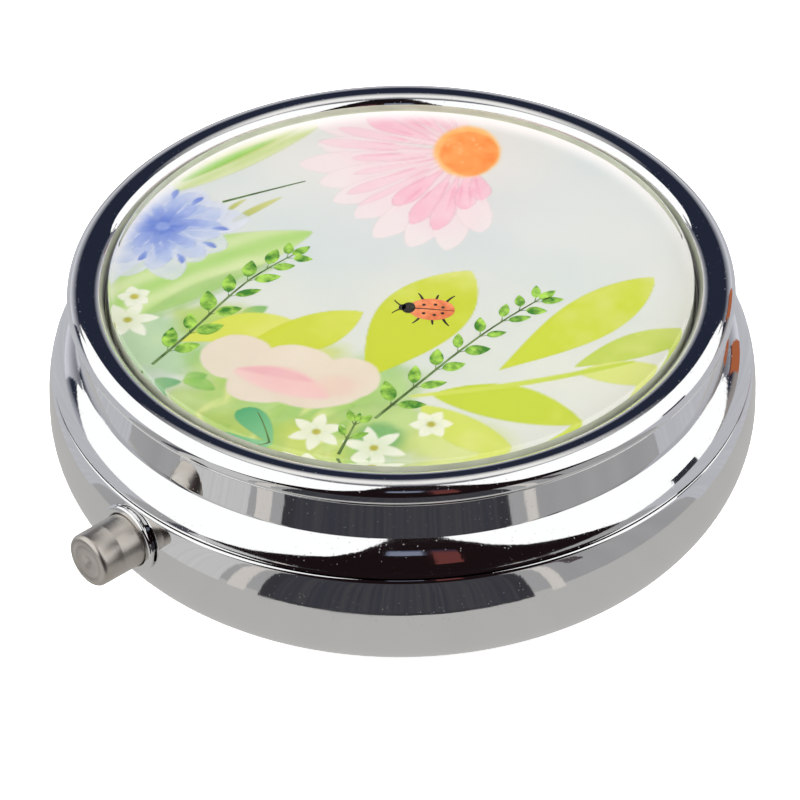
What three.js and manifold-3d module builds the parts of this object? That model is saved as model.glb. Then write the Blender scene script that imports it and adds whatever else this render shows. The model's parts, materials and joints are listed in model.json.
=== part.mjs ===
// Round push-button pill box: a chromed two-part case with a picture dome on its lid.
// Millimetres, +Z up. The origin is the centre of the flat underside.
// The push button points towards -Y and the hinge is on the +Y side.

import * as THREE from 'three';
import { mergeVertices } from 'three/addons/utils/BufferGeometryUtils.js';
import Module from 'manifold-3d';

// Overall sizes of the closed case
const caseRadius = 25.0;          // widest circle, on the base
const bellyDepth = 5.0;           // from the widest circle in to where the flat underside begins
const widestHeight = 6.1;         // height of the widest circle above the table
const baseHeight = 9.4;           // upper edge of the base
const partingGap = 0.3;           // gap between the base's edge and the lid's edge
const skirtRise = 2.95;           // how far the shoulder curve would climb above the base's edge
const shoulderPower = 2.9;        // squareness of the shoulder curve
const sheet = 0.6;                // thickness of the pressed brass sheet

// Lid top
const neckInset = 2.0;            // neck's radius below the widest circle's
const beadInset = 0.9;            // bead's middle radius below the neck's
const beadHalfWidth = 1.3;
const beadHalfHeight = 1.05;
const beadRise = 3.6;             // bead's centre above the crease at the neck's foot
const recessDepth = 1.85;         // floor that carries the picture, below the bead's top
const pictureThickness = 0.25;
const pictureGap = 0.3;           // round the picture and the dome
const domeEdge = 0.75;            // straight side of the clear dome above the picture
const domeRise = 1.0;             // crown of the dome above its edge

// Clearances
const seatGap = 0.05;             // between flat faces that rest on each other
const looseGap = 0.15;            // round a piece that drops or is pressed into another
const notchGap = 0.25;            // round a plate or barrel that passes a cut edge
const runningGap = 0.06;          // radial, round the button, the hinge pin and the rivets

// Rings that close the two shells inside
const plate = 0.5;                // thickness of the rings, hinge leaves and hook
const ringDrop = 0.2;             // base ring's upper face below the base's edge
const ringEdgeGap = 0.25;         // between a ring's rim and the shell round it
const mirrorInset = 2.0;          // mirror's radius below the inside of the neck
const mirrorLedge = 1.5;          // how far the lid ring reaches in under the mirror
const mirrorThickness = 1.2;

// Push button and its bush
const buttonRadius = 1.95;
const buttonReach = 3.9;          // how far it stands out past the case
const buttonChamfer = 0.3;
const flangeStep = 0.55;          // flange's radius above the button's
const flangeThickness = 0.4;
const stemRadius = 0.9;
const bushWall = 0.3;
const bushLip = 0.25;
const bushProud = 0.35;           // how far the bush stands out past the case
const bushLength = 1.75;
const bushMargin = 0.1;           // base's edge above the top of the bush

// Latch: a spring leaf behind the button holds the lid's hook
const leafInset = 4.8;            // leaf's outer face in from the widest circle
const leafThickness = 0.4;
const leafWidth = 5.0;
const leafFoot = 5.5;             // length of the foot welded to the floor
const leafSwing = 1.4;            // room behind the leaf for it to bend back
const lipReach = 0.65;            // how far the leaf's lip stands out over the hook's nose
const hookGap = 0.8;              // between the hook and the leaf
const hookWidth = 4.0;
const hookStemGap = 0.35;         // between the hook's lower end and the button's stem
const noseReach = 0.55;
const noseHeight = 0.65;
const hookTab = 1.7;              // length of the tab under the lid ring
const hookTabWidth = 7.4;
const slotMargin = 0.8;           // slot in the base ring beyond the button's flange

// Tray for the pills
const trayMargin = 1.0;           // cup's radius inside the slot's inner edge
const trayWall = 0.8;
const trayFloor = 0.8;
const trayFootGap = 0.45;         // between the cup and the latch's foot
const trayLip = 1.5;              // how far the lip reaches out over the ring
const trayLipThickness = 0.5;
const dividerWall = 0.8;
const dividerDrop = 0.6;          // top of the dividers below the top of the lip
const compartments = 3;

// Hinge
const hingeInset = 0.8;           // hinge's axis in from the widest circle
const barrelRadius = 1.4;
const barrelLength = 11.4;
const lidKnuckle = 3.6;           // length of the middle knuckle
const pinRadius = 0.5;
const pinOverhang = 0.1;
const hingeLeafLength = 4.6;      // from the axis to the inner end of both leaves

// Rivets
const rivetRadius = 0.45;
const rivetHead = 0.8;
const rivetHeadHeight = 0.35;
const hingeRivetX = 4.0;
const hingeRivetInset = 1.15;     // from the inner end of the leaves
const hookRivetX = 2.75;

// Facets
const roundCase = 64;
const roundSmall = 24;
const roundRivet = 12;
const curveSteps = 5;

// Places that follow from the sizes above
const coreRadius = caseRadius - bellyDepth;
const shoulderRise = baseHeight + skirtRise - widestHeight;
const lidEdge = baseHeight + partingGap;
const neckRadius = caseRadius - neckInset;
const neckInside = neckRadius - sheet;
const creaseHeight = shoulderHeight(neckRadius, 0);
const beadMidRadius = neckRadius - beadInset;
const beadHeight = creaseHeight + beadRise;
const recessWall = beadMidRadius - beadHalfWidth;
const recessFloor = beadHeight + beadHalfHeight - recessDepth;
const recessUnderside = recessFloor - sheet;
const pictureRadius = recessWall - pictureGap;
const pictureBottom = recessFloor + seatGap;
const domeBottom = pictureBottom + pictureThickness + seatGap;
const domeCrown = domeBottom + domeEdge + domeRise;

const hingePlace = caseRadius - hingeInset;
const hingeHeight = (baseHeight + lidEdge) / 2;
const barrelTop = hingeHeight + barrelRadius;
const barrelBottom = hingeHeight - barrelRadius;
const leafInnerEdge = hingePlace - hingeLeafLength;
const hingeRivetY = leafInnerEdge + hingeRivetInset;

const ringTop = baseHeight - ringDrop;
const ringBottom = ringTop - plate;
const baseLeafTop = ringBottom - seatGap;
const baseLeafBottom = baseLeafTop - plate;
const lidLeafTop = barrelTop;
const lidLeafBottom = lidLeafTop - plate;
const lidRingBottom = lidLeafTop + seatGap;
const lidRingTop = lidRingBottom + plate;
const mirrorRadius = neckInside - mirrorInset;
const lidRingHole = mirrorRadius - mirrorLedge;
const mirrorBottom = lidRingTop + seatGap;
const mirrorTop = mirrorBottom + mirrorThickness;
const padBottom = mirrorTop + seatGap;
const padTop = recessUnderside - looseGap;

const bushBore = buttonRadius + runningGap;
const bushOuter = bushBore + bushWall;
const buttonFlange = buttonRadius + flangeStep;
const buttonHeight = baseHeight - bushMargin - bushOuter - bushLip;
const leafPlace = leafInset - caseRadius;
const slotInnerEdge = leafPlace + leafThickness + leafSwing;
const slotHalf = buttonFlange + slotMargin;
const hookPlace = leafPlace - hookGap;
const hookOuter = hookPlace - plate;
const hookTip = buttonHeight + stemRadius + hookStemGap;
const hookRivetY = hookOuter + hookTab / 2;

const trayRadius = -slotInnerEdge - trayMargin;
const trayBottom = sheet + seatGap + leafThickness + trayFootGap;

const wasm = await Module();
wasm.setup();

// ---- solids ----

function toManifold(geometry) {
  const bare = geometry.clone();
  bare.deleteAttribute('normal');
  bare.deleteAttribute('uv');
  const merged = mergeVertices(bare, 1e-5);
  const index = merged.index.array;
  const kept = [];
  for (let i = 0; i < index.length; i += 3) {
    const [a, b, c] = [index[i], index[i + 1], index[i + 2]];
    if (a !== b && b !== c && c !== a) kept.push(a, b, c);
  }
  const vertProperties = new Float32Array(merged.attributes.position.array);
  const triVerts = new Uint32Array(kept);
  return new wasm.Manifold(new wasm.Mesh({ numProp: 3, vertProperties, triVerts }));
}

function toGeometry(solid) {
  const mesh = solid.getMesh();
  const geometry = new THREE.BufferGeometry();
  const positions = new Float32Array(mesh.vertProperties);
  geometry.setAttribute('position', new THREE.BufferAttribute(positions, 3));
  geometry.setIndex(Array.from(mesh.triVerts));
  return geometry;
}

// Turn a closed outline of [radius, height] about Z, outline running anticlockwise.
function turned(outline, facets) {
  const points = outline.map(([r, z]) => new THREE.Vector2(r, z));
  const geometry = new THREE.LatheGeometry(points, facets);
  return toManifold(geometry.rotateX(Math.PI / 2));
}

// Turn an outline of [radius, distance] about the button's axis, distance measured towards -Y.
function turnedOnButtonAxis(outline) {
  const points = outline.map(([r, out]) => new THREE.Vector2(r, out));
  const geometry = new THREE.LatheGeometry(points, roundSmall);
  return toManifold(geometry.rotateX(Math.PI).translate(0, 0, buttonHeight));
}

function ring(innerR, outerR, low, high, facets = roundCase) {
  const outline = [[innerR, low], [outerR, low], [outerR, high], [innerR, high], [innerR, low]];
  return turned(outline, facets);
}

function disc(radius, low, high, facets = roundCase) {
  return turned([[0, low], [radius, low], [radius, high], [0, high]], facets);
}

function block([x0, x1], [y0, y1], [z0, z1]) {
  const geometry = new THREE.BoxGeometry(x1 - x0, y1 - y0, z1 - z0);
  geometry.translate((x0 + x1) / 2, (y0 + y1) / 2, (z0 + z1) / 2);
  return toManifold(geometry);
}

// A rod along X on the hinge's axis.
function rodOnHinge(radius, x0, x1) {
  const geometry = new THREE.CylinderGeometry(radius, radius, x1 - x0, roundSmall);
  geometry.rotateZ(Math.PI / 2).translate((x0 + x1) / 2, hingePlace, hingeHeight);
  return toManifold(geometry);
}

// Extrude a side view of [y, z] points to the given width, centred on x = 0.
function sideCut(outline, width) {
  const shape = new THREE.Shape(outline.map(([y, z]) => new THREE.Vector2(y, z)));
  const geometry = new THREE.ExtrudeGeometry(shape, { depth: width, bevelEnabled: false });
  const sideways = new THREE.Matrix4().makeBasis(
    new THREE.Vector3(0, 1, 0),
    new THREE.Vector3(0, 0, 1),
    new THREE.Vector3(1, 0, 0),
  );
  return toManifold(geometry.applyMatrix4(sideways).translate(-width / 2, 0, 0));
}

// ---- outlines of the case ----

function spread(from, to, steps) {
  return Array.from({ length: steps + 1 }, (_, i) => from + ((to - from) * i) / steps);
}

// Radius of the shoulder at a height, moved inwards by an inset.
function shoulderRadius(height, inset) {
  const bulge = caseRadius - coreRadius - inset;
  const climb = (height - widestHeight) / (shoulderRise - inset);
  const share = (1 - climb ** shoulderPower) ** (1 / shoulderPower);
  return coreRadius + bulge * share;
}

// Height at which the inset shoulder has narrowed to a radius.
function shoulderHeight(radius, inset) {
  const share = (radius - coreRadius) / (caseRadius - coreRadius - inset);
  const climb = (1 - share ** shoulderPower) ** (1 / shoulderPower);
  return widestHeight + climb * (shoulderRise - inset);
}

function shoulder(low, high, inset) {
  return spread(low, high, curveSteps).map((z) => [shoulderRadius(z, inset), z]);
}

// Lower curve of the base, from the flat underside up to the widest circle.
function belly(inset) {
  return spread(-Math.PI / 2, 0, curveSteps).map((angle) => [
    coreRadius + (caseRadius - coreRadius - inset) * Math.cos(angle),
    widestHeight + (widestHeight - inset) * Math.sin(angle),
  ]);
}

// The bead's oval, inset by the sheet for its hollow side.
function bead(fromDegrees, toDegrees, inset) {
  const toRadians = Math.PI / 180;
  return spread(fromDegrees * toRadians, toDegrees * toRadians, curveSteps).map((angle) => [
    beadMidRadius + (beadHalfWidth - inset) * Math.cos(angle),
    beadHeight + (beadHalfHeight - inset) * Math.sin(angle),
  ]);
}

// ---- base ----

function baseShell() {
  const floor = [0, 0];
  const outside = [floor, ...belly(0), ...shoulder(widestHeight, baseHeight, 0).slice(1)];
  const inside = [[0, sheet], ...belly(sheet), ...shoulder(widestHeight, baseHeight, sheet).slice(1)];
  const cup = turned([...outside, ...inside.reverse()], roundCase);
  const bushHole = turnedOnButtonAxis([
    [0, coreRadius],
    [bushOuter + looseGap / 2, coreRadius],
    [bushOuter + looseGap / 2, caseRadius + 1],
    [0, caseRadius + 1],
  ]);
  const notchFloor = Math.min(baseLeafBottom, barrelBottom) - notchGap;
  return cup.subtract(bushHole).subtract(hingeNotch(notchFloor, lidEdge));
}

// Opening at the back of both shells for the hinge barrel and its leaves.
function hingeNotch(low, high) {
  const half = barrelLength / 2 + notchGap;
  return block([-half, half], [coreRadius, caseRadius + 1], [low, high]);
}

function baseRing() {
  const rim = shoulderRadius(ringTop, sheet) - ringEdgeGap;
  const plain = ring(trayRadius + looseGap, rim, ringBottom, ringTop);
  const slot = block([-slotHalf, slotHalf], [-caseRadius, slotInnerEdge],
    [ringBottom - 1, ringTop + 1]);
  const knuckleCut = block(
    [-barrelLength / 2 - notchGap, barrelLength / 2 + notchGap],
    [hingePlace - barrelRadius - notchGap, caseRadius],
    [ringBottom - 1, ringTop + 1],
  );
  return plain.subtract(slot).subtract(knuckleCut).subtract(hingeRivetHoles());
}

function pillTray() {
  const lipBottom = ringTop + seatGap;
  const lipTop = lipBottom + trayLipThickness;
  const lipRadius = trayRadius + trayLip;
  const floorTop = trayBottom + trayFloor;
  const cup = turned([
    [0, trayBottom],
    [trayRadius - trayWall, trayBottom],
    [trayRadius, trayBottom + trayWall],
    [trayRadius, lipBottom],
    [lipRadius, lipBottom],
    [lipRadius, lipTop],
    [trayRadius - trayWall, lipTop],
    [trayRadius - trayWall, floorTop],
    [0, floorTop],
  ], roundCase);
  const flat = block([-slotHalf, slotHalf], [-lipRadius - 1, slotInnerEdge],
    [lipBottom - 0.1, lipTop + 1]);
  const reach = trayRadius - trayWall / 2;
  const dividerTop = lipTop - dividerDrop;
  const walls = spread(0, 2 * Math.PI, compartments).slice(1).map((turn) => {
    const wall = new THREE.BoxGeometry(reach, dividerWall, dividerTop - trayBottom);
    wall.translate(reach / 2, 0, (dividerTop + trayBottom) / 2);
    return toManifold(wall.rotateZ(turn + Math.PI / 2));
  });
  return walls.reduce((tray, wall) => tray.add(wall), cup).subtract(flat);
}

// ---- button and latch ----

function buttonBush() {
  const outerEnd = caseRadius + bushProud;
  const innerEnd = outerEnd - bushLength;
  const lipBack = caseRadius + seatGap;
  return turnedOnButtonAxis([
    [bushBore, innerEnd],
    [bushOuter, innerEnd],
    [bushOuter, lipBack],
    [bushOuter + bushLip, lipBack],
    [bushOuter + bushLip, outerEnd - bushLip / 2],
    [bushOuter + bushLip / 2, outerEnd],
    [bushBore, outerEnd],
    [bushBore, innerEnd],
  ]);
}

function button() {
  const flangeFront = caseRadius + bushProud - bushLength - looseGap;
  const flangeBack = flangeFront - flangeThickness;
  const stemTip = -leafPlace + seatGap;
  const face = caseRadius + buttonReach;
  return turnedOnButtonAxis([
    [0, stemTip],
    [stemRadius, stemTip],
    [stemRadius, flangeBack],
    [buttonFlange, flangeBack],
    [buttonFlange, flangeFront],
    [buttonRadius, flangeFront],
    [buttonRadius, face - buttonChamfer],
    [buttonRadius - buttonChamfer, face],
    [0, face],
  ]);
}

function latchSpring() {
  const foot = sheet + seatGap;
  const top = hookTip + noseHeight + notchGap;
  const back = leafPlace + leafThickness;
  return sideCut([
    [leafPlace, foot],
    [leafPlace + leafFoot, foot],
    [leafPlace + leafFoot, foot + leafThickness],
    [back, foot + leafThickness],
    [back, top + leafThickness],
    [leafPlace, top + leafThickness],
    [leafPlace - lipReach, top],
    [leafPlace, top],
  ], leafWidth);
}

// ---- hinge ----

function leafPlate(low, edge) {
  const half = barrelLength / 2;
  return block([-half, half], [leafInnerEdge, edge], [low, low + plate]);
}

function hingeBaseLeaf() {
  const half = barrelLength / 2;
  const knuckles = rodOnHinge(barrelRadius, -half, half);
  const gapHalf = lidKnuckle / 2 + looseGap;
  const middle = block([-gapHalf, gapHalf],
    [hingePlace - barrelRadius - notchGap, hingePlace + barrelRadius + 1],
    [hingeHeight - barrelRadius - 1, hingeHeight + barrelRadius + 1]);
  const bore = rodOnHinge(pinRadius + runningGap, -half - 1, half + 1);
  const body = leafPlate(baseLeafBottom, hingePlace).add(knuckles);
  return body.subtract(middle).subtract(bore).subtract(hingeRivetHoles());
}

function hingeLidLeaf() {
  const half = lidKnuckle / 2;
  const knuckle = rodOnHinge(barrelRadius, -half, half);
  const bore = rodOnHinge(pinRadius + runningGap, -half - 1, half + 1);
  const neck = block([-half, half], [leafInnerEdge, hingePlace], [lidLeafBottom, lidLeafTop]);
  const wide = leafPlate(lidLeafBottom, hingePlace - barrelRadius - notchGap);
  return wide.add(neck).add(knuckle).subtract(bore).subtract(hingeRivetHoles());
}

function hingePin() {
  const half = barrelLength / 2 + pinOverhang;
  return rodOnHinge(pinRadius, -half, half);
}

// ---- rivets ----

function rivetHole(x, y) {
  return disc(rivetRadius + runningGap, 0, domeCrown, roundRivet).translate([x, y, 0]);
}

function hingeRivetHoles() {
  return rivetHole(-hingeRivetX, hingeRivetY).add(rivetHole(hingeRivetX, hingeRivetY));
}

// A rivet whose domed head rests at headHeight and whose shank ends flush at endHeight.
function rivet(x, y, headHeight, endHeight) {
  const way = Math.sign(headHeight - endHeight);
  const headTop = headHeight + way * rivetHeadHeight;
  const outline = [
    [0, endHeight],
    [rivetRadius, endHeight],
    [rivetRadius, headHeight],
    [rivetHead, headHeight],
    [rivetHead * 0.8, headHeight + way * rivetHeadHeight * 0.7],
    [0, headTop],
  ];
  return turned(way > 0 ? outline : outline.reverse(), roundRivet).translate([x, y, 0]);
}

function baseRivet(x) {
  return rivet(x, hingeRivetY, ringTop + seatGap, baseLeafBottom + seatGap);
}

function lidRivet(x) {
  return rivet(x, hingeRivetY, lidLeafBottom - seatGap, lidRingTop - seatGap);
}

function hookRivet(x) {
  return rivet(x, hookRivetY, lidLeafBottom - seatGap, lidRingTop - seatGap);
}

function hookRivetHoles() {
  return rivetHole(-hookRivetX, hookRivetY).add(rivetHole(hookRivetX, hookRivetY));
}

// ---- lid ----

function lidShell() {
  const shoulderOutside = shoulder(lidEdge, creaseHeight, 0);
  const wrap = (Math.acos((neckRadius - beadMidRadius) / beadHalfWidth) * 180) / Math.PI;
  const innerShare = (neckInside - beadMidRadius) / (beadHalfWidth - sheet);
  const innerWrap = (Math.acos(innerShare) * 180) / Math.PI;
  const outline = [
    ...shoulderOutside,
    ...bead(-wrap, 180, 0),
    [recessWall, recessFloor],
    [0, recessFloor],
    [0, recessUnderside],
    [recessWall + sheet, recessUnderside],
    ...bead(180, -innerWrap, sheet),
    ...shoulder(shoulderHeight(neckInside, sheet), lidEdge, sheet),
  ];
  const shell = turned([...outline, outline[0]], roundCase);
  return shell.subtract(hingeNotch(baseHeight, barrelTop + notchGap));
}

function lidRing() {
  const rim = neckInside - ringEdgeGap;
  const plain = ring(lidRingHole, rim, lidRingBottom, lidRingTop);
  return plain.subtract(hingeRivetHoles()).subtract(hookRivetHoles());
}

function lidHook() {
    const finger = sideCut([
    [hookOuter, hookTip + noseHeight / 2],
    [hookPlace, hookTip],
    [hookPlace + noseReach, hookTip + noseHeight / 2],
    [hookPlace + noseReach, hookTip + noseHeight],
    [hookPlace, hookTip + noseHeight],
    [hookPlace, lidLeafTop],
    [hookOuter, lidLeafTop],
  ], hookWidth);
  const half = hookTabWidth / 2;
  const tab = block([-half, half], [hookOuter, hookOuter + hookTab], [lidLeafBottom, lidLeafTop]);
  return finger.add(tab).subtract(hookRivetHoles());
}

function domeLens() {
  const edgeTop = domeBottom + domeEdge;
  const rise = domeCrown - edgeTop;
  const sphere = (pictureRadius ** 2 + rise ** 2) / (2 * rise);
  const lean = Math.asin(pictureRadius / sphere);
  const crown = spread(lean, 0, curveSteps).map((angle) => [
    sphere * Math.sin(angle),
    domeCrown - sphere + sphere * Math.cos(angle),
  ]);
  return turned([[0, domeBottom], [pictureRadius, domeBottom], ...crown], roundCase);
}

// ---- assembly ----

const chrome = { color: 0xd8d9dc, roughness: 0.06, metalness: 1 };
const dullSteel = { color: 0x9a938c, roughness: 0.32, metalness: 1 };
const springSteel = { color: 0x8f9194, roughness: 0.28, metalness: 1 };
const brass = { color: 0xb9975a, roughness: 0.3, metalness: 1 };
const whitePlastic = { color: 0xf2f1ec, roughness: 0.4, metalness: 0 };
const greyFoam = { color: 0x77787a, roughness: 0.95, metalness: 0 };
const print = { color: 0xdde6e3, roughness: 0.5, metalness: 0 };
const mirrorGlass = { color: 0xe6ecee, roughness: 0.02, metalness: 1 };
const clearResin = { color: 0xf4f8f7, roughness: 0.03, metalness: 0, transparent: true, opacity: 0.3 };

const pillBox = new THREE.Group();

function addPiece(name, solid, finish) {
  const mesh = new THREE.Mesh(toGeometry(solid), new THREE.MeshStandardMaterial(finish));
  mesh.name = name;
  pillBox.add(mesh);
}

addPiece('base_shell', baseShell(), chrome);
addPiece('base_ring', baseRing(), chrome);
addPiece('pill_tray', pillTray(), whitePlastic);
addPiece('button_bush', buttonBush(), chrome);
addPiece('button', button(), dullSteel);
addPiece('latch_spring', latchSpring(), springSteel);
addPiece('hinge_base_leaf', hingeBaseLeaf(), chrome);
addPiece('hinge_lid_leaf', hingeLidLeaf(), chrome);
addPiece('hinge_pin', hingePin(), dullSteel);
addPiece('lid_shell', lidShell(), chrome);
addPiece('lid_ring', lidRing(), chrome);
addPiece('lid_hook', lidHook(), springSteel);
addPiece('mirror', disc(mirrorRadius, mirrorBottom, mirrorTop), mirrorGlass);
addPiece('mirror_pad', disc(mirrorRadius, padBottom, padTop), greyFoam);
addPiece('picture_disc', disc(pictureRadius, pictureBottom, domeBottom - seatGap), print);
addPiece('dome_lens', domeLens(), clearResin);

for (const [side, sign] of [['left', -1], ['right', 1]]) {
  addPiece(`base_hinge_rivet_${side}`, baseRivet(sign * hingeRivetX), brass);
  addPiece(`lid_hinge_rivet_${side}`, lidRivet(sign * hingeRivetX), brass);
  addPiece(`hook_rivet_${side}`, hookRivet(sign * hookRivetX), brass);
}

export default pillBox;
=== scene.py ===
import json
import math

import bpy
import numpy as np
from mathutils import Matrix, Vector

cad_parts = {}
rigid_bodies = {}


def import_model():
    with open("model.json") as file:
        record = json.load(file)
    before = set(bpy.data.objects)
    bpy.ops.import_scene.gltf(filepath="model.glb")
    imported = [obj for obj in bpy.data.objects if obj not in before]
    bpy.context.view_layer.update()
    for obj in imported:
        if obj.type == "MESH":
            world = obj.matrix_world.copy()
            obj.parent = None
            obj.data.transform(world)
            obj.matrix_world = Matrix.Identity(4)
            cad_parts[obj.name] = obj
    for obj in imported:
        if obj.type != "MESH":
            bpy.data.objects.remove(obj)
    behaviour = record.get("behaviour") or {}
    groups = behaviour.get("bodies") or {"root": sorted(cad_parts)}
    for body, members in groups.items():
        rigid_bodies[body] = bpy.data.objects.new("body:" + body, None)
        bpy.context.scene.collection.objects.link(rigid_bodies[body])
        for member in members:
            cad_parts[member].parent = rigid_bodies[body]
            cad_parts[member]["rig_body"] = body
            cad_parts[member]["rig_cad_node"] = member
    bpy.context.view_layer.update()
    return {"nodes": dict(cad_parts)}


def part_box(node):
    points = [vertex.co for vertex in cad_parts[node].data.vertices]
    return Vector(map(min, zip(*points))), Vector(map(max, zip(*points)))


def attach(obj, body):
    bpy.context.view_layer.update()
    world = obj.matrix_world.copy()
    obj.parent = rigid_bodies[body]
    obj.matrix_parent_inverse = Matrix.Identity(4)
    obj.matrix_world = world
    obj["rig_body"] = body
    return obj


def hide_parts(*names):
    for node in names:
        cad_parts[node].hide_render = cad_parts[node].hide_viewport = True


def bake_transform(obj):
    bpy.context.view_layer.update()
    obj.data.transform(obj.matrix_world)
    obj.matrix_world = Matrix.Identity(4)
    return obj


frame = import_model()

mm = 0.001


# small tools used all through the file

def clearSelection():
    if bpy.context.object and bpy.context.object.mode != "OBJECT":
        bpy.ops.object.mode_set(mode="OBJECT")
    bpy.ops.object.select_all(action="DESELECT")


def pick(obj):
    clearSelection()
    obj.select_set(True)
    bpy.context.view_layer.objects.active = obj


# a colour code as shares from 0 to 1
def code(text):
    return np.array([int(text[i:i + 2], 16) / 255 for i in (1, 3, 5)])


# the shares that a screen shows to the linear ones that Blender works in
def toLinear(shares):
    return np.where(shares <= 0.04045, shares / 12.92, ((shares + 0.055) / 1.055) ** 2.4)


def rgba(text):
    return (*toLinear(code(text)).tolist(), 1.0)


# adds one node, sets its properties and inputs, and links what it is fed from
def addNode(tree, kind, settings=None, values=None, feeds=None):
    node = tree.nodes.new(kind)
    for key, value in (settings or {}).items():
        setattr(node, key, value)
    for key, value in (values or {}).items():
        node.inputs[key].default_value = value
    for key, source in (feeds or {}).items():
        tree.links.new(source, node.inputs[key])
    return node


def newMaterial(name, shader):
    material = bpy.data.materials.new(name)
    material.use_nodes = True
    tree = material.node_tree
    tree.nodes.clear()
    out = addNode(tree, "ShaderNodeOutputMaterial")
    body = addNode(tree, "ShaderNodeBsdfPrincipled", values=shader)
    tree.links.new(body.outputs["BSDF"], out.inputs["Surface"])
    return material, tree, body


# what most finishes are built from, sized in millimetres: each gives the output that the next one takes
def objectSpace(tree, stretch=None):
    spot = addNode(tree, "ShaderNodeTexCoord").outputs["Object"]
    if stretch is None:
        return spot
    return addNode(tree, "ShaderNodeMapping", values={"Scale": stretch}, feeds={"Vector": spot}).outputs[0]


def noise(tree, size, detail, stretch=None):
    return addNode(tree, "ShaderNodeTexNoise", values={"Scale": 1 / (size * mm), "Detail": detail},
                   feeds={"Vector": objectSpace(tree, stretch)}).outputs["Fac"]


def cells(tree, size):
    return addNode(tree, "ShaderNodeTexVoronoi", values={"Scale": 1 / (size * mm)},
                   feeds={"Vector": objectSpace(tree)}).outputs["Distance"]


def ranged(tree, share, low, high, toLow=0.0, toHigh=1.0):
    return addNode(tree, "ShaderNodeMapRange", values={"From Min": low, "From Max": high, "To Min": toLow,
                                                       "To Max": toHigh}, feeds={"Value": share}).outputs[0]


def toned(tree, share, first, second):
    return addNode(tree, "ShaderNodeMix", {"data_type": "RGBA"}, {6: rgba(first), 7: rgba(second)},
                   {0: share}).outputs[2]


def bumped(tree, height, strength, depth, under=None):
    feeds = {"Height": height} if under is None else {"Height": height, "Normal": under}
    return addNode(tree, "ShaderNodeBump", values={"Strength": strength, "Distance": depth * mm},
                   feeds=feeds).outputs[0]


def feed(tree, body, sources):
    for key, source in sources.items():
        tree.links.new(source, body.inputs[key])


def arc(cx, cz, rx, rz, fromDeg, toDeg, steps):
    turns = [math.radians(fromDeg + (toDeg - fromDeg) * i / steps) for i in range(steps + 1)]
    return [(cx + rx * math.cos(t), cz + rz * math.sin(t)) for t in turns]


# names the object just made, and its mesh
def named(name):
    obj = bpy.context.object
    obj.name = name
    obj.data.name = name
    return obj


# rounds the corners of an outline: {index: radius}
def rounded(outline, radii, steps=5):
    done = []
    for i, corner in enumerate(outline):
        if i not in radii:
            done.append(corner)
            continue
        here = Vector(corner)
        before = Vector(outline[i - 1]) - here
        after = Vector(outline[(i + 1) % len(outline)]) - here
        cut = min(radii[i], before.length * 0.49, after.length * 0.49)
        start = here + before.normalized() * cut
        end = here + after.normalized() * cut
        for s in range(steps + 1):
            t = s / steps
            point = start * (1 - t) ** 2 + here * 2 * t * (1 - t) + end * t ** 2
            done.append((point.x, point.y))
    return done


# draws an outline in millimetres by extruding one vertex, then spins it round Z,
# or round the button's axis when acrossY is given as that axis's height
def spinOutline(name, outline, steps, acrossY=None):
    def place(point):
        if acrossY is None:
            return Vector((point[0], 0, point[1])) * mm
        return Vector((point[0], -point[1], acrossY)) * mm
    clearSelection()
    bpy.ops.mesh.primitive_plane_add(size=1 * mm, location=(0, 0, 0))
    obj = named(name)
    bpy.ops.object.mode_set(mode="EDIT")
    bpy.ops.mesh.select_mode(type="VERT")
    bpy.ops.mesh.merge(type="CENTER")
    bpy.ops.transform.translate(value=place(outline[0]))
    for here, there in zip(outline, outline[1:]):
        bpy.ops.mesh.extrude_region_move(TRANSFORM_OT_translate={"value": place(there) - place(here)})
    bpy.ops.mesh.select_all(action="SELECT")
    axis = (0, 0, 1) if acrossY is None else (0, 1, 0)
    center = (0, 0, 0) if acrossY is None else (0, 0, acrossY * mm)
    bpy.ops.mesh.spin(steps=steps, angle=2 * math.pi, center=center, axis=axis)
    bpy.ops.mesh.select_all(action="SELECT")
    bpy.ops.mesh.remove_doubles(threshold=0.002 * mm)
    bpy.ops.mesh.normals_make_consistent(inside=False)
    bpy.ops.object.mode_set(mode="OBJECT")
    return obj


# adds a cube between two corners in millimetres
def addBlock(name, low, high):
    clearSelection()
    middle = [(a + b) / 2 * mm for a, b in zip(low, high)]
    bpy.ops.mesh.primitive_cube_add(size=1, location=middle)
    obj = named(name)
    obj.scale = [(b - a) * mm for a, b in zip(low, high)]
    bpy.ops.object.transform_apply(location=True, rotation=True, scale=True)
    return obj


def addRod(name, radius, start, end, sides):
    clearSelection()
    a, b = Vector(start) * mm, Vector(end) * mm
    bpy.ops.mesh.primitive_cylinder_add(radius=radius * mm, depth=(b - a).length, vertices=sides,
                                        location=(a + b) / 2)
    obj = named(name)
    obj.rotation_euler = (b - a).to_track_quat("Z", "Y").to_euler()
    bpy.ops.object.transform_apply(location=True, rotation=True, scale=True)
    return obj


def boolean(obj, tool, operation="DIFFERENCE"):
    cut = obj.modifiers.new("cut", "BOOLEAN")
    cut.operation = operation
    cut.object = tool
    cut.solver = "EXACT"
    pick(obj)
    bpy.ops.object.modifier_apply(modifier=cut.name)
    bpy.data.objects.remove(tool)


def bevelEdges(obj, width, segments=3, angle=40):
    pick(obj)
    bevel = obj.modifiers.new("bevel", "BEVEL")
    bevel.width = width * mm
    bevel.segments = segments
    bevel.limit_method = "ANGLE"
    bevel.angle_limit = math.radians(angle)
    bpy.ops.object.modifier_apply(modifier=bevel.name)


def smooth(obj, angle=35):
    pick(obj)
    bpy.ops.object.shade_smooth_by_angle(angle=math.radians(angle))


# gives a finished piece its material, its body, and the CAD nodes that it stands for
def place(obj, material, body, slot, *nodes):
    obj.data.materials.clear()
    obj.data.materials.append(material)
    if nodes:
        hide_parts(*nodes)
    if body:
        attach(obj, body)
    return obj


def corners(node):
    low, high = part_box(node)
    return low / mm, high / mm


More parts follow.
